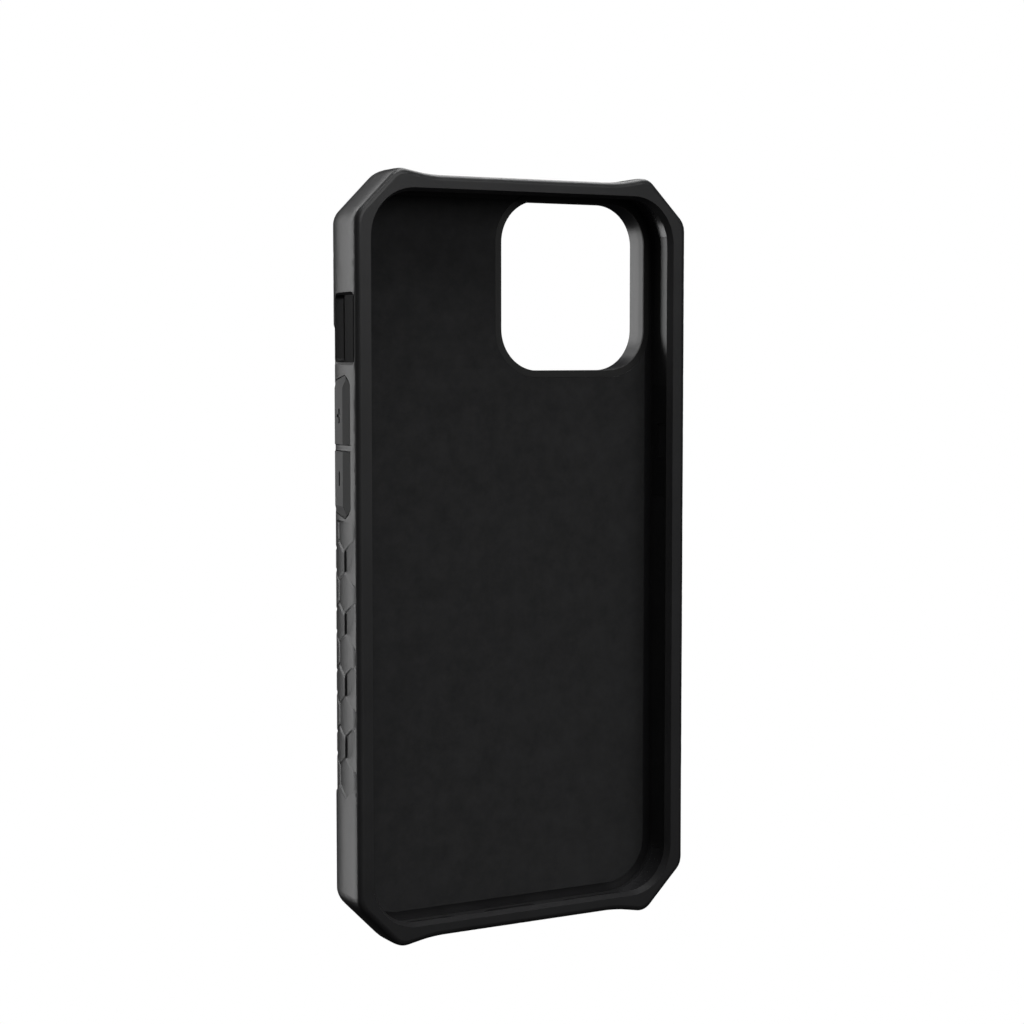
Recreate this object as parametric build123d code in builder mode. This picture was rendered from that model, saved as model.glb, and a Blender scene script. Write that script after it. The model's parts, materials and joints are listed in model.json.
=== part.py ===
"""Rugged layered phone case, in millimetres.

+Z runs up the long side, the screen side faces -Y, and +X is on the right seen from the screen.
The origin is on the ground under the middle of the case, half way through its depth.
"""
import os
from math import cos, radians, sin, sqrt, tan

from build123d import *

os.makedirs("parts", exist_ok=True)

# The device that the case holds
DEVICE_LENGTH = 146.7
DEVICE_WIDTH = 71.5
DEVICE_CORNER = 10.8
POCKET_GAP = 0.1

# Outer outline, seen from the front
HALF_WIDTH = 38.0
HALF_EDGE_HEIGHT = 75.05
HALF_HORN_HEIGHT = 76.2
CHAMFER_REACH = 105.2
HORN_RADIUS = 3.5
HORN_SLOPE = 10.5
SHOULDER_X = 21.5
SHOULDER_RADIUS = 30.0
CHAMFER_CORNER_RADIUS = 4.0
RADIUS_LEAST = 0.15
RADIUS_RUN = 7.0

# Depths, counted back from the device's glass before MIDDLE is taken off
FRONT = -1.45
BACK = 13.1
MIDDLE = (FRONT + BACK) / 2
RIM_BACK = 12.6
CROWN_DEPTH = 3.0
FRONT_ROUND = 1.15
FRONT_INSET = 0.06
FRONT_STEPS = 4
REAR_RUN = RIM_BACK - CROWN_DEPTH
REAR_INSET = 4.2
REAR_POWER = 2.8
REAR_STEPS = (0.3, 0.5, 0.66, 0.79, 0.89, 0.955, 0.99, 1.0)
POCKET_FLOOR = 7.75
LINING = 0.4
SHELL = 1.6
CORE = 1.2
SHELL_FRONT = POCKET_FLOOR + LINING
CORE_FRONT = SHELL_FRONT + SHELL
COVER_FRONT = CORE_FRONT + CORE
PANEL_BACK = 12.5

# Front lip
LIP_HALF_WIDTH = 34.15
LIP_HALF_HEIGHT = 71.75
LIP_CORNER = 9.0
LIP_SLOPE = 24.0
LIP_CUT = 2.5

# How far cutting blocks run: just past a face, or right through a layer
CLEAR = 1.0
THROUGH = 5.0

# Honeycomb grips
CELL_SIDE = 4.057
CELL_ROW = 1.5 * CELL_SIDE
CELL_WIDTH = sqrt(3) * CELL_SIDE
FIRST_COLUMN = 4.3
GRIP_SINK = 0.9
GROOVE = 0.35
TILE_GAP = 0.3
TOP_ROW = 7
LOW_CELLS_TOP = 2 * CELL_ROW
NOTCH_FRONT = -0.3
NOTCH_ROWS = (0, -2, -4, -6)
FOLD_SHIFT = 48.1
FOLD_X = 35.2
FOLD_DEPTH = 10.9
GRIP_MARGIN = 0.45
GRIP_CUT_TOP = 60.0

# Keys: each runs along the wall from its low to its high end
KEY_FRONT = 1.5
KEY_FRONT_X = 37.9
KEY_RIDGE = 3.92
KEY_RIDGE_X = 38.45
KEY_RIDGE_PULL = 2.35
KEY_BACK = 8.2
KEY_BACK_X = 38.05
KEY_END_X = 37.95
KEY_END_BACK_X = 37.73
KEY_TIP = (3.8, 0.0)
KEY_NECK = (2.4, 0.85)
KEY_FRONT_PULL = 1.9
KEY_BACK_PULL = 1.0
KEY_TRAVEL = 0.45
KEY_GAP = 0.15
KEY_SEAT_GAP = 0.02
UP_KEY = (22.85, 36.2)
DOWN_KEY = (8.5, 21.5)
SIDE_KEY = (12.2, 31.8)
LEDGE_X = 36.95
FLANGE = 0.3
FLANGE_OVERLAP = 0.5
FLANGE_DEPTH = (1.4, 7.2)
RETAINER = 0.3
RETAINER_DEPTH = (0.9, 7.6)
RETAINER_REACH = 1.8
PLUNGER_DEPTH = (3.2, 5.6)
PLUNGER_LENGTH = 7.0
PLUNGER_TIP = 35.95
MARK_SINK = 0.25
MARK_WIDTH = 0.6
MARK_LENGTH = 2.8
MARK_DEPTH = 5.8
MARK_BAR = 2.4

# Openings in the walls, cut between these two distances from the middle
WALL_NEAR = 33.0
WALL_FAR = 41.0
MUTE = (0.07, 8.4, 38.7, 51.75)
MUTE_CORNER = 0.8
MUTE_RIM_X = 37.5
MUTE_RIM_ANGLE = -45.0
PORT_WIDTH = 13.5
PORT_DEPTH = (1.0, 7.0)
SPEAKER_WIDTH = 15.0
SPEAKER_X = 19.5
SPEAKER_DEPTH = (1.6, 6.6)

# Camera opening and its rim
CAMERA_X = 16.3
CAMERA_Z = 54.1
CAMERA_SIZE = 34.4
CAMERA_CORNER = 8.5
BEZEL_WALL = 1.2
BEZEL_PROUD = 0.5
GASKET_WALL = 1.4

# Back layers inside the rear rim
WINDOW_HALF_WIDTH = 30.4
WINDOW_HALF_HEIGHT = 67.6
WINDOW_CUT = 9.0
COVER_BEVEL = 0.45
INLAY_HALF_WIDTH = 23.5
INLAY_TOP = 28.0
INLAY_BOTTOM = -60.0
INLAY_CUT = 8.0
LINING_EDGE = 2.0
SCREW_X = 27.0
SCREW_Z = (24.0, -54.0)
SCREW_HEAD = 1.7
SCREW_SHANK = 0.7
SCREW_HOLE = 0.75
SCREW_RECESS = 0.9
SCREW_HEAD_TALL = 0.8
SCREW_HEAD_GAP = 0.15
SCREW_TIP = 0.4
SCREW_KEY = 0.8
SCREW_KEY_DEEP = 0.45
BADGE_Z = -16.0
BADGE_RADIUS = 7.0
BADGE_TALL = 0.5
BADGE_BEVEL = 0.2
CORE_CELL = 2.6
CORE_WEB = 0.9
CORE_COLUMNS = 7
CORE_ROWS = 13
PAD = 0.6
PAD_DEPTH = (1.2, 7.2)
PAD_CORNER = (27.0, 64.6)
PAD_REACH = 20.0
FIT = 0.04

POCKET_HALF_WIDTH = DEVICE_WIDTH / 2 + POCKET_GAP
POCKET_HALF_HEIGHT = DEVICE_LENGTH / 2 + POCKET_GAP
POCKET_CORNER = DEVICE_CORNER + POCKET_GAP
GROUND = HALF_HORN_HEIGHT


def facing(depth):
    """Plane across the case at this depth, X to the right and Z up, looking at the screen side."""
    return Plane((0, depth - MIDDLE, GROUND), x_dir=(1, 0, 0), z_dir=(0, -1, 0))


def beside(x):
    """Plane along the left or right wall, its X along the depth from the glass and its Y up."""
    return Plane((x, -MIDDLE, GROUND), x_dir=(0, 1, 0), z_dir=(1, 0, 0))


def level(z):
    """Plane level with the ground at this height above the device's middle."""
    return Plane((0, -MIDDLE, GROUND + z), x_dir=(1, 0, 0), z_dir=(0, 0, 1))


def quarter_corners(inset):
    """Sharp corners and their radii for the upper right quarter, from the side to the top middle."""
    slope = radians(HORN_SLOPE)
    horn_z = HALF_HORN_HEIGHT - HORN_RADIUS
    horn_x = CHAMFER_REACH - HORN_RADIUS * sqrt(2) - horn_z
    side = HALF_WIDTH - inset
    reach = CHAMFER_REACH - inset * sqrt(2)
    edge = HALF_EDGE_HEIGHT - inset
    rise = tan(slope)
    riser = horn_z + HORN_RADIUS * cos(slope) - rise * (horn_x - HORN_RADIUS * sin(slope))
    riser = min(riser, HALF_EDGE_HEIGHT - rise * SHOULDER_X) - inset / cos(slope)
    peak_x = (reach - riser) / (1 + rise)
    shoulder_x = (edge - riser) / rise
    shrink = max(RADIUS_LEAST, 1 - inset / RADIUS_RUN)
    return [
        ((side, reach - side), CHAMFER_CORNER_RADIUS * shrink),
        ((peak_x, reach - peak_x), HORN_RADIUS * shrink),
        ((shoulder_x, edge), SHOULDER_RADIUS),
    ]


def outline_corners(inset):
    """All corners of the outer outline with their radii, once round."""
    quarter = quarter_corners(inset)
    upper = quarter + [((-x, z), r) for (x, z), r in reversed(quarter)]
    lower = [((x, -z), r) for (x, z), r in reversed(upper)]
    return upper + lower


def wall_profile(growth):
    """Depth and inset of the outer wall from front to back, moved out by the growth."""
    points = []
    for step in range(FRONT_STEPS + 1):
        turn = radians(90 * (1 - step / FRONT_STEPS))
        reach = FRONT_ROUND + growth
        depth = FRONT + FRONT_ROUND - reach * sin(turn)
        points.append((depth, FRONT_INSET + FRONT_ROUND - reach * cos(turn)))
    points.append((CROWN_DEPTH, -growth))
    for along in REAR_STEPS:
        inward = 1 - (1 - along**REAR_POWER) ** (1 / REAR_POWER)
        run = REAR_RUN + growth
        points.append((CROWN_DEPTH + run * along, (REAR_INSET + growth) * inward - growth))
    return points


def outer_body(growth=0.0):
    """The closed outer shape of the case, grown outward evenly."""
    with BuildPart() as body:
        for depth, inset in wall_profile(growth):
            corners = outline_corners(inset)
            with BuildSketch(facing(depth)):
                with BuildLine():
                    FilletPolyline(
                        *[point for point, _ in corners],
                        radius=[radius for _, radius in corners],
                        close=True,
                    )
                make_face()
        loft()
    return body.part


def round_rectangle(half_width, half_height, radius, depth, run, taper=0.0):
    """Block with a rounded rectangular outline, from the depth towards the back."""
    with BuildPart(mode=Mode.PRIVATE) as block:
        with BuildSketch(facing(depth)):
            RectangleRounded(2 * half_width, 2 * half_height, radius)
        extrude(amount=-run, taper=taper)
    return block.part


def octagon_block(half_width, top, bottom, cut, depth, run):
    """Block with four cut corners, from the depth towards the back."""
    with BuildPart(mode=Mode.PRIVATE) as block:
        with BuildSketch(facing(depth)):
            with BuildLine():
                Polyline(
                    (half_width, bottom + cut),
                    (half_width, top - cut),
                    (half_width - cut, top),
                    (cut - half_width, top),
                    (-half_width, top - cut),
                    (-half_width, bottom + cut),
                    (cut - half_width, bottom),
                    (half_width - cut, bottom),
                    close=True,
                )
            make_face()
        extrude(amount=-run)
    return block.part


def camera_block(margin, depth, run):
    """Block with the camera opening's outline moved out by the margin."""
    size = CAMERA_SIZE + 2 * margin
    with BuildPart(mode=Mode.PRIVATE) as block:
        with BuildSketch(facing(depth)):
            with Locations((CAMERA_X, CAMERA_Z)):
                RectangleRounded(size, size, CAMERA_CORNER + margin)
        extrude(amount=-run)
    return block.part


def wall_block(side, near, far, depths, heights):
    """Straight block in the left (-1) or right (1) wall between two distances from the middle."""
    with BuildPart(mode=Mode.PRIVATE) as block:
        with BuildSketch(beside(side * near)):
            with Locations(((depths[0] + depths[1]) / 2, (heights[0] + heights[1]) / 2)):
                Rectangle(depths[1] - depths[0], heights[1] - heights[0])
        extrude(amount=side * (far - near))
    return block.part


# Honeycomb grips


def cell_places(column):
    """Depth and height of each cell in a column; odd columns stand half a cell off the others."""
    across = FIRST_COLUMN + column * CELL_WIDTH / 2
    top_row = TOP_ROW - column % 2
    return [(across, row * CELL_ROW) for row in range(-top_row, top_row + 1, 2)]


def low_cells():
    """The front column, below the keys."""
    return [place for place in cell_places(0) if place[1] < LOW_CELLS_TOP]


def wrap_cells(columns):
    """The columns that wrap round the rear edge."""
    return [place for column in columns for place in cell_places(column)]


def notch_blocks(side, gap):
    """Wedges in front of the second column, which widen towards the front between the first cells."""
    with BuildPart(mode=Mode.PRIVATE) as notches:
        with BuildSketch(beside(side * FOLD_X)):
            for row in NOTCH_ROWS:
                middle = row * CELL_ROW
                near = CELL_SIDE / 2 - gap / sqrt(3)
                wide = near + (FIRST_COLUMN - gap / 2 - NOTCH_FRONT) * tan(radians(30))
                with BuildLine():
                    Polyline(
                        (FIRST_COLUMN - gap / 2, middle - near),
                        (FIRST_COLUMN - gap / 2, middle + near),
                        (NOTCH_FRONT, middle + wide),
                        (NOTCH_FRONT, middle - wide),
                        close=True,
                    )
                make_face()
        extrude(amount=side * (HALF_WIDTH + CLEAR - FOLD_X))
    return notches.part


def side_cells(side, places, gap):
    """Hexagonal blocks through the wall, square to the side."""
    with BuildPart(mode=Mode.PRIVATE) as cells:
        with BuildSketch(beside(side * FOLD_X)):
            with Locations(*places):
                RegularPolygon(CELL_SIDE - gap / sqrt(3), 6, rotation=30)
        extrude(amount=side * (HALF_WIDTH + CLEAR - FOLD_X))
    return cells.part


def rear_cells(side, places, gap):
    """Hexagonal blocks through the rear edge, square to the back."""
    folded = [(side * (FOLD_SHIFT - across), height) for across, height in places]
    with BuildPart(mode=Mode.PRIVATE) as cells:
        with BuildSketch(facing(FOLD_DEPTH)):
            with Locations(*folded):
                RegularPolygon(CELL_SIDE - gap / sqrt(3), 6, rotation=30)
        extrude(amount=-(BACK + CLEAR - FOLD_DEPTH))
    return cells.part


def grip_cells(side, gap):
    """All the cell blocks of one grip, cut back from its neighbours."""
    walls = side_cells(side, low_cells() + wrap_cells((1, 2)), gap)
    rears = rear_cells(side, wrap_cells((2, 3)), gap)
    cells = walls.fuse(notch_blocks(side, gap), rears)
    for keepout in grip_keepout(side):
        cells = cells - keepout
    return cells - OUTER_INNER


def grip_keepout(side):
    """Room that the grip leaves round the keys, the mute opening, the camera rim and the cover."""
    width = WINDOW_HALF_WIDTH + GRIP_MARGIN
    height = WINDOW_HALF_HEIGHT + GRIP_MARGIN
    cover = octagon_block(width, height, -height, WINDOW_CUT, CORE_FRONT, THROUGH)
    if side < 0:
        back, low = MUTE[1] + GRIP_MARGIN, DOWN_KEY[0] - GRIP_MARGIN
        return [cover, wall_block(side, WALL_NEAR, WALL_FAR, (0, back), (low, GRIP_CUT_TOP))]
    back, low = KEY_BACK + GRIP_MARGIN, SIDE_KEY[0] - GRIP_MARGIN
    key = wall_block(side, WALL_NEAR, WALL_FAR, (0, back), (low, GRIP_CUT_TOP))
    return [cover, key, camera_block(BEZEL_WALL + GRIP_MARGIN, CORE_FRONT, THROUGH)]


# Keys


def key_face(side):
    """Plane of a key's raised face, leaning back from its ridge; X counts from the ridge."""
    run = KEY_BACK - KEY_RIDGE
    drop = KEY_RIDGE_X - KEY_BACK_X
    origin = (side * KEY_RIDGE_X, KEY_RIDGE - MIDDLE, GROUND)
    return Plane(origin, x_dir=(-side * drop, run, 0), z_dir=(run, side * drop, 0))


def key_outline(ends, split_low, split_high):
    """Corners of a key seen from the side: a split end is cut square, the others come to a point."""
    low, high = ends
    pointed = [(KEY_BACK, KEY_BACK_PULL), KEY_TIP, KEY_NECK, (KEY_FRONT, KEY_FRONT_PULL)]
    corners = [(depth, low + pull) for depth, pull in pointed]
    if split_low:
        corners = [(KEY_BACK, low), (KEY_FRONT, low)]
    if split_high:
        return corners + [(KEY_FRONT, high), (KEY_BACK, high)]
    return corners + [(depth, high - pull) for depth, pull in reversed(pointed)]


def facet(side, *corners):
    """Plane through three points (depth, distance from the middle, height), facing out of the wall."""
    first, second, third = [Vector(side * x, depth - MIDDLE, GROUND + z) for depth, x, z in corners]
    normal = (second - first).cross(third - first)
    if normal.X * side < 0:
        normal = -normal
    return Plane(origin=first, z_dir=normal)


def key_facets(side, ends, split_low, split_high):
    """The planes that shape a key's head: its face, its front bevel and its pointed ends."""
    low, high = ends
    ridge_low = (KEY_RIDGE, KEY_RIDGE_X, low + KEY_RIDGE_PULL)
    ridge_high = (KEY_RIDGE, KEY_RIDGE_X, high - KEY_RIDGE_PULL)
    planes = [
        facet(side, ridge_low, ridge_high, (KEY_BACK, KEY_BACK_X, low)),
        facet(side, ridge_low, ridge_high, (KEY_FRONT, KEY_FRONT_X, low)),
    ]
    for ridge, end, way, split in ((ridge_low, low, 1, split_low), (ridge_high, high, -1, split_high)):
        if not split:
            tip = (KEY_TIP[0], KEY_END_X, end)
            back = (KEY_BACK, KEY_END_BACK_X, end + way * KEY_BACK_PULL)
            planes.append(facet(side, ridge, tip, back))
    return planes


def key_sketch_block(side, corners, near, far, margin=0.0):
    """Straight block with a key's outline."""
    with BuildPart(mode=Mode.PRIVATE) as block:
        with BuildSketch(beside(side * near)):
            with BuildLine():
                Polyline(*corners, close=True)
            make_face()
            if margin:
                offset(amount=margin, kind=Kind.INTERSECTION)
        extrude(amount=side * (far - near))
    return block.part


def key_room(side, ends, split_low, split_high):
    """Everything that is cut from the wall for one key: the slot for its head and the flange's pocket."""
    foot = key_outline(ends, split_low, split_high)
    slot = key_sketch_block(side, foot, LEDGE_X - KEY_TRAVEL - KEY_GAP, WALL_FAR, KEY_GAP)
    flange_depth = (FLANGE_DEPTH[0] - KEY_GAP, FLANGE_DEPTH[1] + KEY_GAP)
    flange_height = (ends[0] - FLANGE_OVERLAP - KEY_GAP, ends[1] + FLANGE_OVERLAP + KEY_GAP)
    pocket = wall_block(side, WALL_NEAR, LEDGE_X, flange_depth, flange_height)
    return [slot, pocket]


def retainer_room(side, low, high):
    """Shallow recess in the inner wall for a key retainer."""
    far = POCKET_HALF_WIDTH + RETAINER + FIT
    depths = (RETAINER_DEPTH[0] - FIT, RETAINER_DEPTH[1] + FIT)
    return wall_block(side, WALL_NEAR, far, depths, (low - FIT, high + FIT))


def corner_block(right, upper, margin):
    """Curved strip just outside the pocket's wall, at one corner."""
    width = POCKET_HALF_WIDTH + PAD + margin
    height = POCKET_HALF_HEIGHT + PAD + margin
    start = PAD_DEPTH[0] - margin
    run = PAD_DEPTH[1] - PAD_DEPTH[0] + 2 * margin
    middle_x = right * (PAD_CORNER[0] - margin + PAD_REACH / 2)
    middle_z = upper * (PAD_CORNER[1] - margin + PAD_REACH / 2)
    with BuildPart(mode=Mode.PRIVATE) as block:
        with BuildSketch(facing(start)):
            RectangleRounded(2 * width, 2 * height, POCKET_CORNER + PAD + margin)
            RectangleRounded(
                2 * POCKET_HALF_WIDTH, 2 * POCKET_HALF_HEIGHT, POCKET_CORNER, mode=Mode.SUBTRACT
            )
            with Locations((middle_x, middle_z)):
                Rectangle(PAD_REACH, PAD_REACH, mode=Mode.INTERSECT)
        extrude(amount=-run)
    return block.part


CORNERS = {
    (-1, 1): "corner_pad_top_left",
    (1, 1): "corner_pad_top_right",
    (-1, -1): "corner_pad_bottom_left",
    (1, -1): "corner_pad_bottom_right",
}
LEFT_RETAINER = (DOWN_KEY[0] - RETAINER_REACH, UP_KEY[1] + RETAINER_REACH)
RIGHT_RETAINER = (SIDE_KEY[0] - RETAINER_REACH, SIDE_KEY[1] + RETAINER_REACH)
DOWN_ENDS = (DOWN_KEY, False, True)
UP_ENDS = (UP_KEY, True, False)
SIDE_ENDS = (SIDE_KEY, False, False)

OUTER = outer_body()
OUTER_INNER = outer_body(-GRIP_SINK)
OUTER_GROOVE = outer_body(-GROOVE)
OUTER_BEZEL = outer_body(BEZEL_PROUD)

WINDOW = octagon_block(
    WINDOW_HALF_WIDTH, WINDOW_HALF_HEIGHT, -WINDOW_HALF_HEIGHT, WINDOW_CUT, CORE_FRONT, THROUGH
)

grip_bases = {side: grip_cells(side, 0) for side in (-1, 1)}

# Outer frame: the soft wall, front lip, horned corners and rear rim
with BuildPart() as bumper_frame:
    add(OUTER)
    add(
        round_rectangle(POCKET_HALF_WIDTH, POCKET_HALF_HEIGHT, POCKET_CORNER, 0, CORE_FRONT),
        mode=Mode.SUBTRACT,
    )
    add(
        round_rectangle(LIP_HALF_WIDTH, LIP_HALF_HEIGHT, LIP_CORNER, 0, -LIP_CUT, -LIP_SLOPE),
        mode=Mode.SUBTRACT,
    )
    add(WINDOW, mode=Mode.SUBTRACT)
    add(camera_block(BEZEL_WALL + FIT, CORE_FRONT, THROUGH), mode=Mode.SUBTRACT)
    for base in grip_bases.values():
        add(base, mode=Mode.SUBTRACT)
    for side, key in ((-1, DOWN_ENDS), (-1, UP_ENDS), (1, SIDE_ENDS)):
        for room in key_room(side, *key):
            add(room, mode=Mode.SUBTRACT)
    for right, upper in CORNERS:
        add(corner_block(right, upper, FIT), mode=Mode.SUBTRACT)
    add(retainer_room(-1, *LEFT_RETAINER), mode=Mode.SUBTRACT)
    add(retainer_room(1, *RIGHT_RETAINER), mode=Mode.SUBTRACT)
    for start, taper in ((WALL_NEAR, 0), (MUTE_RIM_X, MUTE_RIM_ANGLE)):
        with BuildSketch(beside(-start)):
            with Locations(((MUTE[0] + MUTE[1]) / 2, (MUTE[2] + MUTE[3]) / 2)):
                RectangleRounded(MUTE[1] - MUTE[0], MUTE[3] - MUTE[2], MUTE_CORNER)
        extrude(amount=start - HALF_WIDTH - CLEAR, taper=taper, mode=Mode.SUBTRACT)
    port_middle = (PORT_DEPTH[0] + PORT_DEPTH[1]) / 2
    speaker_middle = (SPEAKER_DEPTH[0] + SPEAKER_DEPTH[1]) / 2
    with BuildSketch(level(CLEAR - THROUGH - POCKET_HALF_HEIGHT)):
        with Locations((0, port_middle)):
            SlotOverall(PORT_WIDTH, PORT_DEPTH[1] - PORT_DEPTH[0])
        with Locations((-SPEAKER_X, speaker_middle), (SPEAKER_X, speaker_middle)):
            SlotOverall(SPEAKER_WIDTH, SPEAKER_DEPTH[1] - SPEAKER_DEPTH[0])
    extrude(amount=THROUGH, mode=Mode.SUBTRACT)
bumper_frame.part.label = "bumper_frame"
export_step(bumper_frame.part, "parts/bumper_frame.step")

# Corner pads: thin gel strips behind the device's corners
for (right, upper), name in CORNERS.items():
    with BuildPart() as corner_pad:
        add(corner_block(right, upper, 0))
    corner_pad.part.label = name
    export_step(corner_pad.part, f"parts/{name}.step")

# Honeycomb grips: a thin band let into the wall, grooved round cells that wrap on to the back
for side, name in ((-1, "honeycomb_grip_left"), (1, "honeycomb_grip_right")):
    with BuildPart() as honeycomb_grip:
        add(grip_bases[side])
        add(OUTER_GROOVE, mode=Mode.INTERSECT)
        add(grip_cells(side, TILE_GAP) & OUTER)
    honeycomb_grip.part.label = name
    export_step(honeycomb_grip.part, f"parts/{name}.step")

# Back shell: the stiff plate behind the device
with BuildPart() as back_shell:
    add(
        round_rectangle(
            POCKET_HALF_WIDTH - FIT, POCKET_HALF_HEIGHT - FIT, POCKET_CORNER - FIT, SHELL_FRONT, SHELL
        )
    )
    add(camera_block(0, SHELL_FRONT - CLEAR, THROUGH), mode=Mode.SUBTRACT)
    with BuildSketch(facing(CORE_FRONT)):
        with Locations(*[(side * SCREW_X, z) for side in (-1, 1) for z in SCREW_Z]):
            Circle(SCREW_HOLE)
    extrude(amount=SHELL - SCREW_TIP + FIT, mode=Mode.SUBTRACT)
back_shell.part.label = "back_shell"
export_step(back_shell.part, "parts/back_shell.step")

# Lining: soft sheet that the device rests on
with BuildPart() as lining_sheet:
    add(
        round_rectangle(
            POCKET_HALF_WIDTH - LINING_EDGE,
            POCKET_HALF_HEIGHT - LINING_EDGE,
            POCKET_CORNER - LINING_EDGE,
            POCKET_FLOOR,
            LINING,
        )
    )
    add(camera_block(GASKET_WALL + FIT, POCKET_FLOOR - CLEAR, THROUGH), mode=Mode.SUBTRACT)
lining_sheet.part.label = "lining_sheet"
export_step(lining_sheet.part, "parts/lining_sheet.step")

# Camera gasket: soft ring round the opening, level with the lining
with BuildPart() as camera_gasket:
    add(camera_block(GASKET_WALL, POCKET_FLOOR, LINING))
    add(camera_block(0, POCKET_FLOOR - CLEAR, THROUGH), mode=Mode.SUBTRACT)
camera_gasket.part.label = "camera_gasket"
export_step(camera_gasket.part, "parts/camera_gasket.step")

# Camera bezel: rim round the opening, a little proud of the rear edge
with BuildPart() as camera_bezel:
    add(camera_block(BEZEL_WALL, CORE_FRONT, THROUGH))
    add(camera_block(0, CORE_FRONT, THROUGH), mode=Mode.SUBTRACT)
    add(OUTER_BEZEL, mode=Mode.INTERSECT)
camera_bezel.part.label = "camera_bezel"
export_step(camera_bezel.part, "parts/camera_bezel.step")

# Impact core: sheet between the shell and the cover, pierced by a honeycomb of cells
with BuildPart() as impact_core:
    add(
        octagon_block(
            WINDOW_HALF_WIDTH - FIT,
            WINDOW_HALF_HEIGHT - FIT,
            FIT - WINDOW_HALF_HEIGHT,
            WINDOW_CUT,
            CORE_FRONT,
            CORE,
        )
    )
    add(camera_block(BEZEL_WALL + FIT, CORE_FRONT, THROUGH), mode=Mode.SUBTRACT)
    with BuildSketch(facing(CORE_FRONT)):
        with Locations((0, (INLAY_TOP + INLAY_BOTTOM) / 2)):
            with HexLocations(CORE_CELL + CORE_WEB, CORE_COLUMNS, CORE_ROWS):
                RegularPolygon(CORE_CELL, 6, rotation=30)
    extrude(amount=-CORE, mode=Mode.SUBTRACT)
    with BuildSketch(facing(CORE_FRONT)):
        with Locations(*[(side * SCREW_X, z) for side in (-1, 1) for z in SCREW_Z]):
            Circle(SCREW_HOLE)
    extrude(amount=-CORE, mode=Mode.SUBTRACT)
impact_core.part.label = "impact_core"
export_step(impact_core.part, "parts/impact_core.step")

# Cover frame: the stiff outer plate, screwed through the core to the shell
with BuildPart() as cover_frame:
    add(
        octagon_block(
            WINDOW_HALF_WIDTH - FIT,
            WINDOW_HALF_HEIGHT - FIT,
            FIT - WINDOW_HALF_HEIGHT,
            WINDOW_CUT,
            COVER_FRONT,
            BACK - COVER_FRONT,
        )
    )
    outer_edges = cover_frame.faces().sort_by(Axis.Y)[-1].edges()
    chamfer(outer_edges, COVER_BEVEL)
    add(camera_block(BEZEL_WALL + FIT, CORE_FRONT, THROUGH), mode=Mode.SUBTRACT)
    add(
        octagon_block(INLAY_HALF_WIDTH, INLAY_TOP, INLAY_BOTTOM, INLAY_CUT, CORE_FRONT, THROUGH),
        mode=Mode.SUBTRACT,
    )
    with BuildSketch(facing(COVER_FRONT)):
        with Locations(*[(side * SCREW_X, z) for side in (-1, 1) for z in SCREW_Z]):
            Circle(SCREW_HOLE)
    extrude(amount=COVER_FRONT - BACK, mode=Mode.SUBTRACT)
    with BuildSketch(facing(BACK)):
        with Locations(*[(side * SCREW_X, z) for side in (-1, 1) for z in SCREW_Z]):
            Circle(SCREW_HEAD + SCREW_HEAD_GAP)
    extrude(amount=SCREW_RECESS, mode=Mode.SUBTRACT)
cover_frame.part.label = "cover_frame"
export_step(cover_frame.part, "parts/cover_frame.step")

# Inlay panel in the cover frame's window
with BuildPart() as back_panel:
    add(
        octagon_block(
            INLAY_HALF_WIDTH - FIT,
            INLAY_TOP - FIT,
            INLAY_BOTTOM + FIT,
            INLAY_CUT,
            COVER_FRONT,
            PANEL_BACK - COVER_FRONT,
        )
    )
back_panel.part.label = "back_panel"
export_step(back_panel.part, "parts/back_panel.step")

# Plain six-sided badge on the panel
with BuildPart() as badge_plate:
    with BuildSketch(facing(PANEL_BACK)):
        with Locations((0, BADGE_Z)):
            RegularPolygon(BADGE_RADIUS, 6, rotation=30)
    extrude(amount=-BADGE_TALL)
    chamfer(badge_plate.faces().sort_by(Axis.Y)[-1].edges(), BADGE_BEVEL)
badge_plate.part.label = "badge_plate"
export_step(badge_plate.part, "parts/badge_plate.step")

# Cover screws: round heads level with the plate, with a hexagonal socket
SCREW_SEAT = BACK - SCREW_RECESS
with BuildPart() as cover_screws:
    with BuildSketch(facing(SCREW_SEAT)):
        with Locations(*[(side * SCREW_X, z) for side in (-1, 1) for z in SCREW_Z]):
            Circle(SCREW_HEAD)
    extrude(amount=-SCREW_HEAD_TALL)
    with BuildSketch(facing(SCREW_SEAT)):
        with Locations(*[(side * SCREW_X, z) for side in (-1, 1) for z in SCREW_Z]):
            Circle(SCREW_SHANK)
    extrude(amount=SCREW_SEAT - SHELL_FRONT - SCREW_TIP)
    with BuildSketch(facing(SCREW_SEAT + SCREW_HEAD_TALL)):
        with Locations(*[(side * SCREW_X, z) for side in (-1, 1) for z in SCREW_Z]):
            RegularPolygon(SCREW_KEY, 6)
    extrude(amount=SCREW_KEY_DEEP, mode=Mode.SUBTRACT)
cover_screws.part.label = "cover_screws"
export_step(cover_screws.part, "parts/cover_screws.step")

# Key retainers: thin strips on the inner wall that hold the keys in
for side, ends, plungers, name in (
    (-1, LEFT_RETAINER, (DOWN_KEY, UP_KEY), "volume_key_retainer"),
    (1, RIGHT_RETAINER, (SIDE_KEY,), "side_key_retainer"),
):
    with BuildPart() as key_retainer:
        add(wall_block(side, POCKET_HALF_WIDTH, POCKET_HALF_WIDTH + RETAINER, RETAINER_DEPTH, ends))
        for key in plungers:
            middle = (key[0] + key[1]) / 2
            depths = (PLUNGER_DEPTH[0] - KEY_GAP, PLUNGER_DEPTH[1] + KEY_GAP)
            reach = PLUNGER_LENGTH / 2 + KEY_GAP
            add(
                wall_block(side, WALL_NEAR, LEDGE_X, depths, (middle - reach, middle + reach)),
                mode=Mode.SUBTRACT,
            )
    key_retainer.part.label = name
    export_step(key_retainer.part, f"parts/{name}.step")


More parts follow.
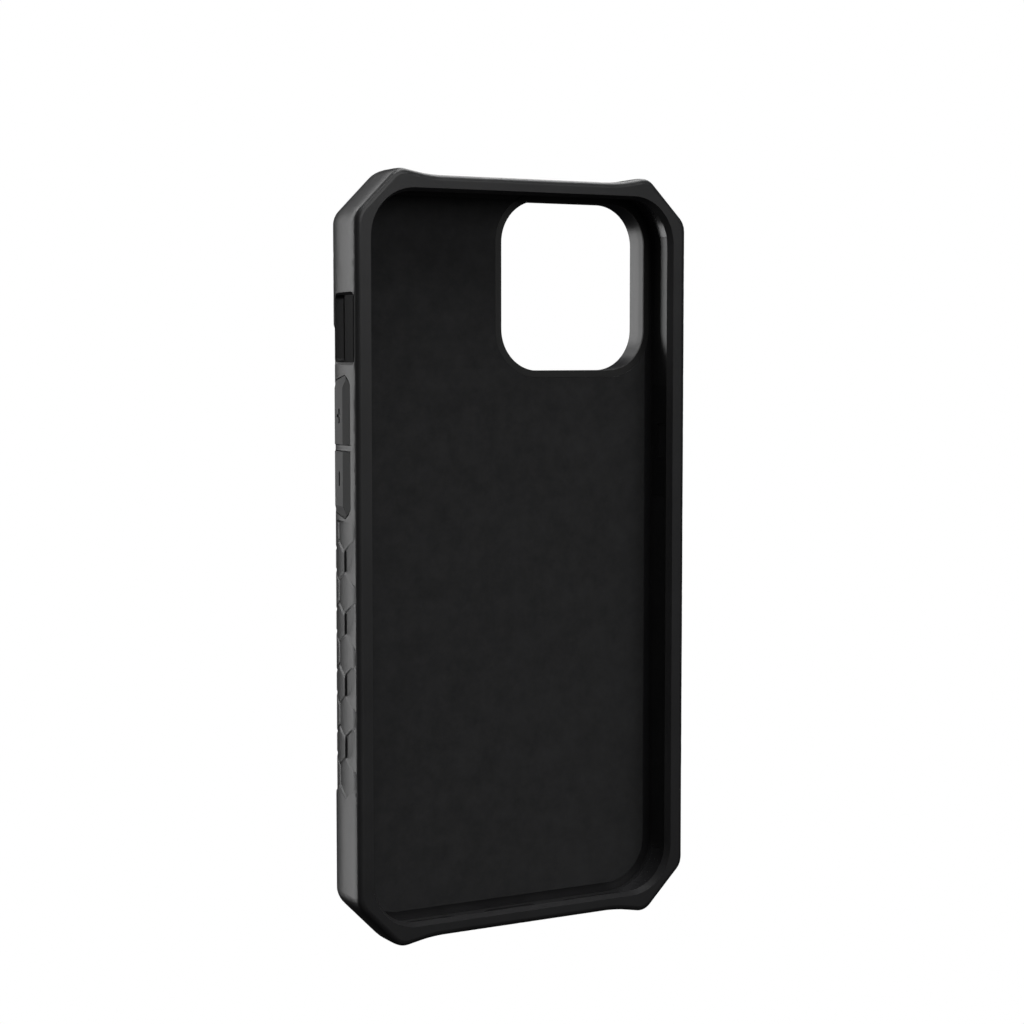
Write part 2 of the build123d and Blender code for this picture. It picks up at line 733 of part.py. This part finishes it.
def make_key(side, key_ends, mark):
    """A key: faceted head outside the wall, flange behind the ledge, and plunger towards the device."""
    (low, high), split_low, split_high = key_ends
    middle = (low + high) / 2
    face_low = low if split_low else low + KEY_RIDGE_PULL
    face_high = high if split_high else high - KEY_RIDGE_PULL
    seat = LEDGE_X - KEY_SEAT_GAP
    flange = (low - FLANGE_OVERLAP, high + FLANGE_OVERLAP)
    plunger = (middle - PLUNGER_LENGTH / 2, middle + PLUNGER_LENGTH / 2)
    with BuildPart() as key:
        add(key_sketch_block(side, key_outline(*key_ends), seat, KEY_RIDGE_X + CLEAR))
        for plane in key_facets(side, *key_ends):
            split(bisect_by=plane, keep=Keep.BOTTOM)
        add(wall_block(side, seat - FLANGE, seat, FLANGE_DEPTH, flange))
        add(wall_block(side, PLUNGER_TIP, LEDGE_X - FLANGE, PLUNGER_DEPTH, plunger))
        if mark:
            with BuildSketch(key_face(side).offset(-side * MARK_SINK)):
                with Locations((MARK_DEPTH - KEY_RIDGE, (face_low + face_high) / 2)):
                    Rectangle(MARK_WIDTH, MARK_LENGTH)
                    if mark == "plus":
                        Rectangle(MARK_BAR, MARK_WIDTH)
            extrude(amount=side * CLEAR, mode=Mode.SUBTRACT)
    return key.part


for side, ends, mark, name in (
    (-1, UP_ENDS, "plus", "volume_up_button"),
    (-1, DOWN_ENDS, "minus", "volume_down_button"),
    (1, SIDE_ENDS, "", "side_button"),
):
    button = make_key(side, ends, mark)
    button.label = name
    export_step(button, f"parts/{name}.step")
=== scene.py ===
"""Looks of the rugged phone case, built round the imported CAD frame. Lengths are in metres."""

import json
import math

import bpy
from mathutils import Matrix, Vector


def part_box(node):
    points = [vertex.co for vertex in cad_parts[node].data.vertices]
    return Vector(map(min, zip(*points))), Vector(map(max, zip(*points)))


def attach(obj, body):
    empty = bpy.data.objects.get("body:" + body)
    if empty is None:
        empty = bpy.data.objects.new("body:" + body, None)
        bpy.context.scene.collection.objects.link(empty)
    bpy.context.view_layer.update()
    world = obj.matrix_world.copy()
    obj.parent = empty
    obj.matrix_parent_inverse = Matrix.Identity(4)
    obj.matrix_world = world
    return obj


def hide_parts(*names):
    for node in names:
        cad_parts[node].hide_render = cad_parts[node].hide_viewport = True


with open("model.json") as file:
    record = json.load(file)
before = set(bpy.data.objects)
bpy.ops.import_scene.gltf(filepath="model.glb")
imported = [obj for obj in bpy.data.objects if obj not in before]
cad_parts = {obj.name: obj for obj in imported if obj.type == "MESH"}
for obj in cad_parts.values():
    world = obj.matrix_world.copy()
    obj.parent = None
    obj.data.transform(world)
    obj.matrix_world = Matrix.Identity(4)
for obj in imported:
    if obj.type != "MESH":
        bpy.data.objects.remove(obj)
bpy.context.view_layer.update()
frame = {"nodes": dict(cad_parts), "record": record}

NODES = frame["nodes"]
MM = 0.001
LOW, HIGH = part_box("bumper_frame")
MIDDLE_Z = (LOW.z + HIGH.z) / 2
LIP_RISE = 1.45 * MM
GLASS_Y = LOW.y + LIP_RISE


# Materials

# Scales of the noise, in cells per metre
MOTTLE = 110.0
SMUDGE = 38.0
PEBBLE = 1100.0
PATCH = 160.0
NAP_SHEEN = 260.0
PILE = 5200.0
SCRATCH = 4000.0
TARNISH = 300.0

# How far moulded and brushed gloss vary, how far a crease reaches and dulls, and a tone ramp's ends
GLOSS_SWING = 0.09
BRUSHED_SMOOTHER = 0.1
BRUSHED_ROUGHER = 0.15
CREASE_REACH = 0.16
CREASE_DULLNESS = 0.2
DARK_END = 0.3
LIGHT_END = 0.7


def new_material(name, colour, roughness, specular=0.5):
    """A material with its shader and its node tree."""
    material = bpy.data.materials.new(name)
    material.use_nodes = True
    shader = material.node_tree.nodes["Principled BSDF"]
    shader.inputs["Base Color"].default_value = (*colour, 1)
    shader.inputs["Roughness"].default_value = roughness
    shader.inputs["Specular IOR Level"].default_value = specular
    return material, material.node_tree, shader


def add_noise(tree, scale, detail=3.0, roughness=0.55):
    """Noise in object space, from 0 to 1."""
    place = tree.nodes.new("ShaderNodeTexCoord")
    noise = tree.nodes.new("ShaderNodeTexNoise")
    noise.inputs["Scale"].default_value = scale
    noise.inputs["Detail"].default_value = detail
    noise.inputs["Roughness"].default_value = roughness
    tree.links.new(place.outputs["Object"], noise.inputs["Vector"])
    return noise.outputs["Fac"]


def add_range(tree, source, low, high):
    """The source from 0 to 1 spread between two numbers."""
    spread = tree.nodes.new("ShaderNodeMapRange")
    spread.inputs["To Min"].default_value = low
    spread.inputs["To Max"].default_value = high
    tree.links.new(source, spread.inputs["Value"])
    return spread.outputs["Result"]


def add_bump(tree, shader, height, distance):
    """Bump on the shader's normal, as deep as the distance says."""
    bump = tree.nodes.new("ShaderNodeBump")
    bump.inputs["Strength"].default_value = 1.0
    bump.inputs["Distance"].default_value = distance
    tree.links.new(height, bump.inputs["Height"])
    tree.links.new(bump.outputs["Normal"], shader.inputs["Normal"])


def tone_ramp(tree, shader, source, colour, spread):
    """The shader's colour, from a little darker to a little lighter as the source rises."""
    tone = tree.nodes.new("ShaderNodeValToRGB")
    dark, light = tone.color_ramp.elements
    dark.position = DARK_END
    dark.color = (*[c * (1 - spread) for c in colour], 1)
    light.position = LIGHT_END
    light.color = (*[c * (1 + spread) for c in colour], 1)
    tree.links.new(source, tone.inputs["Fac"])
    tree.links.new(tone.outputs["Color"], shader.inputs["Base Color"])


def add_maths(tree, operation, first, second):
    """A maths node of a source and a source or number."""
    node = tree.nodes.new("ShaderNodeMath")
    node.operation = operation
    tree.links.new(first, node.inputs[0])
    if isinstance(second, float):
        node.inputs[1].default_value = second
    else:
        tree.links.new(second, node.inputs[1])
    return node.outputs["Value"]


def moulded(name, colour, roughness, grain=7000.0, depth=0.003 * MM):
    """Moulded rubber or plastic: fine grain, faint mottling, and smudges that change the gloss."""
    material, tree, shader = new_material(name, colour, roughness)
    tone_ramp(tree, shader, add_noise(tree, MOTTLE, detail=5.0), colour, spread=0.14)
    fine = add_noise(tree, grain, detail=2.0)
    smudge = add_noise(tree, SMUDGE)
    gloss = add_maths(tree, "MULTIPLY", add_maths(tree, "ADD", fine, smudge), 0.5)
    gloss = add_range(tree, gloss, roughness - GLOSS_SWING, roughness + GLOSS_SWING)
    tree.links.new(gloss, shader.inputs["Roughness"])
    add_bump(tree, shader, fine, depth)
    return material


def leather(name, colour, roughness):
    """Pebbled leather: raised pebbles between fine creases, with a worn gloss on top."""
    material, tree, shader = new_material(name, colour, roughness)
    place = tree.nodes.new("ShaderNodeTexCoord")
    pebble = tree.nodes.new("ShaderNodeTexVoronoi")
    pebble.feature = "DISTANCE_TO_EDGE"
    pebble.inputs["Scale"].default_value = PEBBLE
    tree.links.new(place.outputs["Object"], pebble.inputs["Vector"])
    crease = tree.nodes.new("ShaderNodeMapRange")
    crease.inputs["From Max"].default_value = CREASE_REACH
    tree.links.new(pebble.outputs["Distance"], crease.inputs["Value"])
    raised = crease.outputs["Result"]
    height = add_maths(tree, "ADD", raised, add_noise(tree, PATCH, detail=4.0))
    # Painted shade: the colour is darker in the creases and lighter on the raised pebbles, with patches of
    # uneven tone
    tone_ramp(tree, shader, add_maths(tree, "MULTIPLY", height, 0.6), colour, spread=0.3)
    gloss = add_range(tree, raised, roughness + CREASE_DULLNESS, roughness)
    tree.links.new(gloss, shader.inputs["Roughness"])
    add_bump(tree, shader, height, distance=0.06 * MM)
    return material


def microfibre(name, colour):
    """Short brushed pile: matt, with a soft sheen, and painted sheen in patches where the pile turns."""
    material, tree, shader = new_material(name, colour, roughness=0.9, specular=0.2)
    shader.inputs["Sheen Weight"].default_value = 0.35
    shader.inputs["Sheen Roughness"].default_value = 0.5
    # Painted sheen: the colour is lighter and darker in patches, as pile lying another way would catch the
    # light
    tone_ramp(tree, shader, add_noise(tree, NAP_SHEEN, detail=6.0, roughness=0.7), colour, spread=0.3)
    pile = add_noise(tree, PILE, roughness=0.8)
    tree.links.new(add_range(tree, pile, low=0.8, high=1.0), shader.inputs["Roughness"])
    add_bump(tree, shader, pile, distance=0.03 * MM)
    return material


def brushed_metal(name, colour, roughness, stretch):
    """Metal brushed one way, with fine scratches in its gloss. The stretch squeezes them into lines."""
    material, tree, shader = new_material(name, colour, roughness)
    shader.inputs["Metallic"].default_value = 1.0
    place = tree.nodes.new("ShaderNodeTexCoord")
    squeeze = tree.nodes.new("ShaderNodeMapping")
    squeeze.inputs["Scale"].default_value = stretch
    tree.links.new(place.outputs["Object"], squeeze.inputs["Vector"])
    lines = tree.nodes.new("ShaderNodeTexNoise")
    lines.inputs["Scale"].default_value = SCRATCH
    lines.inputs["Detail"].default_value = 3.0
    tree.links.new(squeeze.outputs["Vector"], lines.inputs["Vector"])
    tone_ramp(tree, shader, add_noise(tree, TARNISH), colour, spread=0.12)
    gloss = add_range(tree, lines.outputs["Fac"], roughness - BRUSHED_SMOOTHER, roughness + BRUSHED_ROUGHER)
    tree.links.new(gloss, shader.inputs["Roughness"])
    add_bump(tree, shader, lines.outputs["Fac"], distance=0.004 * MM)
    return material


BLACK = (0.021, 0.021, 0.022)
STEEL = (0.3, 0.3, 0.31)
finishes = {
    "soft_black": moulded("soft_black", BLACK, 0.37),
    "grip_black": moulded("grip_black", BLACK, 0.37),
    "key_black": moulded("key_black", BLACK, 0.36),
    "shell_black": moulded("shell_black", (0.015, 0.015, 0.016), 0.35, 4500.0),
    "cover_black": moulded("cover_black", (0.022, 0.022, 0.024), 0.5, 5000.0, 0.016 * MM),
    "rim_black": moulded("rim_black", (0.018, 0.018, 0.02), 0.3, 9000.0, 0.004 * MM),
    "panel_leather": leather("panel_leather", (0.02, 0.019, 0.018), 0.45),
    "lining_grey": microfibre("lining_grey", (0.019, 0.019, 0.02)),
    "gasket_black": moulded("gasket_black", (0.01, 0.01, 0.01), 0.6, 6000.0),
    "core_foam": moulded("core_foam", (0.03, 0.03, 0.03), 0.75, 2500.0, 0.05 * MM),
    "screw_steel": brushed_metal("screw_steel", STEEL, 0.42, (1.0, 1.0, 0.15)),
    "badge_metal": brushed_metal("badge_metal", STEEL, 0.45, (0.05, 1.0, 1.0)),
    "pad_gel": moulded("pad_gel", (0.03, 0.03, 0.032), 0.25, 3000.0, 0.005 * MM),
}
for entry in frame["record"]["subparts"]:
    node = NODES[entry["node"]]
    node.data.materials.clear()
    node.data.materials.append(finishes[entry["material_slot"]])


# Honeycomb grips: cells that lean back like scales, wrapped from the side round on to the back.
# Lengths here are in mm: x from the middle of the case, depth from the glass towards the back,
# height from the middle, and across, which is the depth once the wall is unrolled flat.

# The outer wall, and how the pattern folds over its rear edge
HALF_WIDTH = 38.0
CROWN_DEPTH = 3.0
FRONT_INSET = 0.06
FRONT_LEAN = 0.02
REAR_RUN = 9.6
REAR_INSET = 4.2
REAR_POWER = 2.8
FOLD_DEPTH = 11.33
FOLD_SHIFT = 48.1
FOLD_EASE = 0.15
FOLD_RATE = 2
CURVE_STEPS = 4000

# The sheet: the spacing of its points, where it starts and ends, and its levels at the rim of the
# cells and outside them
GRID = 0.13
START_DEPTH = -0.45
END_X = 30.7
GRIP_HALF = 47.0
FLUSH = -0.02
OUTSIDE = -0.05

# The pattern: six-sided cells in columns -1 (the notches in front) to 3, with every other row empty
CELL_SIDE = 4.057
CELL_WIDTH = math.sqrt(3) * CELL_SIDE
CELL_ROW = 1.5 * CELL_SIDE
HEX_SLOPE = math.tan(math.radians(30))
HEX_RISE = math.sqrt(0.75)
FIRST_COLUMN = 4.3
ROWS = {-1: (-6, 0), 0: (-7, 1), 1: (-7, 7), 2: (-7, 7), 3: (-7, 7)}
NEIGHBOURS = ((2, 0), (-2, 0), (1, 1), (1, -1), (-1, 1), (-1, -1))

# The relief: each column's level at its front and rear edge and the power between them, the notches'
# depth and slope, the grooves between two columns' cells, and the width of bevels and grooves
LEVELS = {0: (0.0, -0.36, 1.5), 1: (0.0, -0.36, 1.0), 2: (-0.33, -0.05, 1.0), 3: (-0.08, 0.0, 0.5)}
NOTCH_FRONT = -0.3
NOTCH_DROP = 0.34
NOTCH_POWER = 1.1
NOTCH_RUN = 0.9
NOTCH_RUN_LEAST = 0.05
GROOVES = {
    (-1, 0): 0.03, (-1, 1): 0.05, (0, 1): 0.05, (0, 2): 0.03,
    (1, 2): 0.2, (1, 3): 0.25, (2, 3): 0.25,
}
GROOVE_HALF = 0.28
SLANT_BEVEL = 0.5
STEP_BEVEL = {-1: 0.08, 0: 0.3, 1: 0.3}

# What the cells keep clear of: the keys and the mute opening (their rear edge and lower end on each
# side), and the camera rim
GRIP_MARGIN = 0.45
KEYS = {-1: (8.4, 8.5), 1: (8.2, 12.2)}
OPENING_X = 16.3
OPENING_Z = 54.1
OPENING_SIZE = 34.4
OPENING_CORNER = 8.5
BEZEL_WALL = 1.2


def clamp(value):
    """The value, held between 0 and 1."""
    return min(max(value, 0.0), 1.0)


def wall_curve():
    """Points along the outer wall: x, depth, the wall's normal (out, back), and across."""
    points = []
    depth = START_DEPTH
    while depth < CROWN_DEPTH:
        inset = FRONT_INSET * (CROWN_DEPTH - depth) / (CROWN_DEPTH - NOTCH_FRONT)
        points.append((HALF_WIDTH - inset, depth, 1.0, -FRONT_LEAN, depth))
        depth += GRID
    last = Vector((HALF_WIDTH, CROWN_DEPTH))
    for step in range(CURVE_STEPS + 1):
        along = step / CURVE_STEPS
        inset = REAR_INSET * (1 - (1 - along**REAR_POWER) ** (1 / REAR_POWER))
        here = Vector((HALF_WIDTH - inset, CROWN_DEPTH + REAR_RUN * along))
        if (here - last).length < GRID:
            continue
        way = (here - last).normalized()
        across = here.y
        if here.y > FOLD_DEPTH:
            ease = FOLD_EASE * math.exp(-FOLD_RATE * (here.y - FOLD_DEPTH))
            across = max(here.y, FOLD_SHIFT - here.x - ease)
        points.append((here.x, here.y, way.y, -way.x, across))
        last = here
    x = last.x - GRID
    while x > END_X:
        points.append((x, CROWN_DEPTH + REAR_RUN, 0.0, 1.0, FOLD_SHIFT - x))
        x -= GRID
    return points


def cell_exists(column, row):
    """Whether the grip has a cell there."""
    if column not in ROWS or (column + row) % 2 == 0:
        return False
    first, last = ROWS[column]
    return first <= row <= last


def cell_offset(column, row, across, height):
    """How far a point is from a cell's centre, across and up."""
    return across - FIRST_COLUMN - column * CELL_WIDTH / 2, height - row * CELL_ROW


def notch_half(across):
    """Half a notch's height at a distance across: it widens towards the front with the cells' slants."""
    return CELL_SIDE / 2 + (FIRST_COLUMN - across) * HEX_SLOPE


def cell_at(across, height):
    """Column and row of the cell that holds a point, or of the empty place that does."""
    if across < FIRST_COLUMN:
        row = 2 * round(height / CELL_ROW / 2)
        if abs(height - row * CELL_ROW) < notch_half(across):
            return -1, row
        row = 2 * math.floor(height / CELL_ROW / 2) + 1
        return (0, row) if across > FIRST_COLUMN - CELL_WIDTH / 2 else (-2, row)
    nearest = None
    middle = round((across - FIRST_COLUMN) / (CELL_WIDTH / 2))
    below = math.floor(height / CELL_ROW)
    for column in (middle - 1, middle, middle + 1):
        for row in range(below - 1, below + 3):
            if (column + row) % 2 == 0:
                continue
            off_across, off_up = cell_offset(column, row, across, height)
            off = off_across**2 + off_up**2
            if nearest is None or off < nearest[0]:
                nearest = (off, column, row)
    return nearest[1], nearest[2]


def notch_level(row, across, height):
    """A notch's level: deeper away from the front, and sloping from the level of the cell below it."""
    share = clamp((across - NOTCH_FRONT) / (FIRST_COLUMN - NOTCH_FRONT))
    half = notch_half(across)
    climb = clamp((height - row * CELL_ROW + half) / (2 * half))
    slope = min(climb / (NOTCH_RUN_LEAST + NOTCH_RUN * (1 - share)), 1.0)
    low = cell_level(0, row - 1, across, height)
    return low + (-NOTCH_DROP * share**NOTCH_POWER - low) * slope


def cell_level(column, row, across, height):
    """A cell's level against the wall: its face leans from its front edge to its rear edge."""
    if column < 0:
        return notch_level(row, across, height)
    front, rear, power = LEVELS[column]
    share = (across - FIRST_COLUMN - (column - 1) * CELL_WIDTH / 2) / CELL_WIDTH
    return front + (rear - front) * clamp(share) ** power


def opening_distance(x, height):
    """How far a point is outside the camera rim's outline and the margin round it."""
    corner = OPENING_CORNER + BEZEL_WALL + GRIP_MARGIN
    flat = OPENING_SIZE / 2 + BEZEL_WALL + GRIP_MARGIN - corner
    beside = abs(x - OPENING_X) - flat
    above = abs(height - OPENING_Z) - flat
    return math.hypot(max(beside, 0.0), max(above, 0.0)) + min(max(beside, above), 0.0) - corner


def clear_distance(side, x, depth, height):
    """How far a point is from where the keys and the camera rim need the wall, below 0 inside it."""
    key_back, key_low = KEYS[side]
    clear = max(depth - key_back, key_low - height) - GRIP_MARGIN
    return min(clear, opening_distance(x, height)) if side > 0 else clear


def tile_height(side, x, across, depth, height):
    """Height of the grip over the wall at a point, and whether the point is on the grip."""
    column, row = cell_at(across, height)
    clear = clear_distance(side, x, depth, height)
    if not cell_exists(column, row) or clear < 0:
        return OUTSIDE, False
    own = cell_level(column, row, across, height)
    off_across, off_up = cell_offset(column, row, across, height)
    rise = own
    flush = own * min(clear / SLANT_BEVEL, 1.0) + FLUSH
    groove = 0.0
    for step, climb in NEIGHBOURS:
        beside = column + step
        inside = max(CELL_WIDTH / 2 - off_across * step / 2 - off_up * climb * HEX_RISE, 0.0)
        if cell_exists(beside, row + climb):
            other = cell_level(beside, row + climb, across, height)
            if other < own:
                bevel = SLANT_BEVEL if climb else STEP_BEVEL[min(column, beside)]
                rise = min(rise, other + (own - other) * min(inside / bevel, 1.0))
            if inside < GROOVE_HALF:
                deepest = GROOVES[min(column, beside), max(column, beside)]
                groove = max(groove, deepest * (1 - inside / GROOVE_HALF))
        elif beside >= -1 or column == -1:
            flush = max(flush, own * min(inside / SLANT_BEVEL, 1.0) + FLUSH)
    if flush > own + FLUSH:
        return max(rise - groove, flush), True
    return rise - groove, True


def grip_mesh(side, name):
    """A fine sheet over the cells of one side, cut off where the grip ends."""
    curve = wall_curve()
    heights = [-GRIP_HALF + GRID * step for step in range(int(2 * GRIP_HALF / GRID) + 1)]
    points = []
    inside = []
    for height in heights:
        for x, depth, out, back, across in curve:
            rise, kept = tile_height(side, x, across, depth, height)
            inside.append(kept)
            place = (side * (x + out * rise), depth + back * rise, height)
            points.append((place[0] * MM, place[1] * MM + GLASS_Y, place[2] * MM + MIDDLE_Z))
    wide = len(curve)
    faces = []
    for level in range(len(heights) - 1):
        for step in range(wide - 1):
            corner = level * wide + step
            ring = (corner, corner + 1, corner + wide + 1, corner + wide)
            if any(inside[i] for i in ring):
                faces.append(ring if side > 0 else ring[::-1])
    used = sorted({i for ring in faces for i in ring})
    place_of = {old: new for new, old in enumerate(used)}
    mesh = bpy.data.meshes.new(name)
    mesh.from_pydata([points[i] for i in used], [], [tuple(place_of[i] for i in ring) for ring in faces])
    mesh.polygons.foreach_set("use_smooth", [True] * len(mesh.polygons))
    return mesh


def make_grip(side, name, node):
    """One grip, which stands for its CAD node and rides on the case."""
    mesh = grip_mesh(side, name)
    mesh.materials.append(finishes["grip_black"])
    grip = bpy.data.objects.new(name, mesh)
    bpy.context.scene.collection.objects.link(grip)
    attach(grip, "case")
    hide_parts(node)


make_grip(-1, "grip_cells_left", "honeycomb_grip_left")
make_grip(1, "grip_cells_right", "honeycomb_grip_right")


# Stage, lights and camera

CENTRE = Vector((0.0, 0.0, MIDDLE_Z))
CAMERA_PLACE = (-0.22468, -0.389985, 0.1173)
CAMERA_DIP = math.radians(4.17)
CAMERA_TURN = math.radians(-30.0)
CAMERA_LENS = 78.1
SENSOR_WIDTH = 36.0
FLOOR_HALF = 6.0
ROOM_STRENGTH = 0.09
BELOW = (0, 0, -1)
BEHIND = (0.64, 0.77, 0)

# Each softbox: its place, width, height and radiance
SOFTBOXES = {
    "side_softbox": ((-0.86, 1.35, 0.4), 0.4, 2.2, 4.2),
    "front_softbox": ((0.25, -1.7, 0.8), 1.3, 1.2, 1.9),
    "top_softbox": ((0.25, -0.2, 1.6), 2.1, 0.7, 4.6),
    "rear_softbox": ((-0.42, 0.95, 1.45), 0.8, 1.2, 2.4),
    "right_softbox": ((1.0, 0.95, 1.35), 0.8, 0.7, 4.0),
}


def add_camera():
    """The camera, level with the upper part of the case and a little to its left."""
    data = bpy.data.cameras.new("camera")
    data.lens = CAMERA_LENS
    data.sensor_width = SENSOR_WIDTH
    data.clip_start = 0.01
    camera = bpy.data.objects.new("camera", data)
    camera.location = CAMERA_PLACE
    camera.rotation_euler = (math.pi / 2 - CAMERA_DIP, 0, CAMERA_TURN)
    bpy.context.scene.collection.objects.link(camera)
    bpy.context.scene.camera = camera


def soft_light(name, place, width, height, radiance):
    """A rectangular softbox that faces the case, as bright as the radiance says."""
    data = bpy.data.lights.new(name, "AREA")
    data.shape = "RECTANGLE"
    data.size = width
    data.size_y = height
    data.energy = radiance * width * height * math.pi
    light = bpy.data.objects.new(name, data)
    light.location = place
    light.rotation_euler = (CENTRE - Vector(place)).to_track_quat("-Z", "Y").to_euler()
    light.visible_camera = False
    bpy.context.scene.collection.objects.link(light)


def seen_white(tree, hidden, output):
    """White to the camera, and the hidden shader to every other ray."""
    path = tree.nodes.new("ShaderNodeLightPath")
    mix = tree.nodes.new("ShaderNodeMixShader")
    kind = "ShaderNodeBackground" if output.type == "OUTPUT_WORLD" else "ShaderNodeEmission"
    white = tree.nodes.new(kind)
    white.inputs["Color"].default_value = (1, 1, 1, 1)
    tree.links.new(path.outputs["Is Camera Ray"], mix.inputs["Fac"])
    tree.links.new(hidden.outputs[0], mix.inputs[1])
    tree.links.new(white.outputs[0], mix.inputs[2])
    tree.links.new(mix.outputs["Shader"], output.inputs["Surface"])


def add_floor():
    """A plain pale floor that neither shades the case nor shows in its reflections."""
    mesh = bpy.data.meshes.new("floor")
    corners = [(x * FLOOR_HALF, y * FLOOR_HALF, 0) for x, y in ((-1, -1), (1, -1), (1, 1), (-1, 1))]
    mesh.from_pydata(corners, [], [(0, 1, 2, 3)])
    floor = bpy.data.objects.new("floor", mesh)
    bpy.context.scene.collection.objects.link(floor)
    material, tree, shader = new_material("floor", (0.18, 0.18, 0.18), roughness=0.9, specular=0.1)
    seen_white(tree, shader, tree.nodes["Material Output"])
    mesh.materials.append(material)
    floor.visible_diffuse = False
    floor.visible_glossy = False
    floor.visible_transmission = False
    floor.visible_shadow = False


def fade(tree, way, start, end, low):
    """Full strength for directions up to the start along a way, fading to the low share at the end."""
    along = tree.nodes.new("ShaderNodeVectorMath")
    along.operation = "DOT_PRODUCT"
    along.inputs[1].default_value = way
    bearing = tree.nodes.new("ShaderNodeTexCoord")
    tree.links.new(bearing.outputs["Generated"], along.inputs[0])
    share = tree.nodes.new("ShaderNodeMapRange")
    share.inputs["From Min"].default_value = start
    share.inputs["From Max"].default_value = end
    share.inputs["To Min"].default_value = 1.0
    share.inputs["To Max"].default_value = low
    tree.links.new(along.outputs["Value"], share.inputs["Value"])
    return share.outputs["Result"]


def add_room():
    """A dim even room, darker below and behind the case, that looks white to the camera."""
    world = bpy.data.worlds.new("world")
    bpy.context.scene.world = world
    world.use_nodes = True
    tree = world.node_tree
    room = tree.nodes["Background"]
    room.inputs["Color"].default_value = (1, 1, 1, 1)
    below = fade(tree, BELOW, start=0.0, end=0.7, low=0.2)
    behind = fade(tree, BEHIND, start=-0.1, end=0.5, low=0.06)
    shade = add_maths(tree, "MULTIPLY", below, behind)
    strength = add_maths(tree, "MULTIPLY", shade, ROOM_STRENGTH)
    tree.links.new(strength, room.inputs["Strength"])
    seen_white(tree, room, tree.nodes["World Output"])


add_camera()
add_floor()
add_room()
for name, (place, width, height, radiance) in SOFTBOXES.items():
    soft_light(name, place, width, height, radiance)
bpy.context.scene.view_settings.view_transform = "Standard"
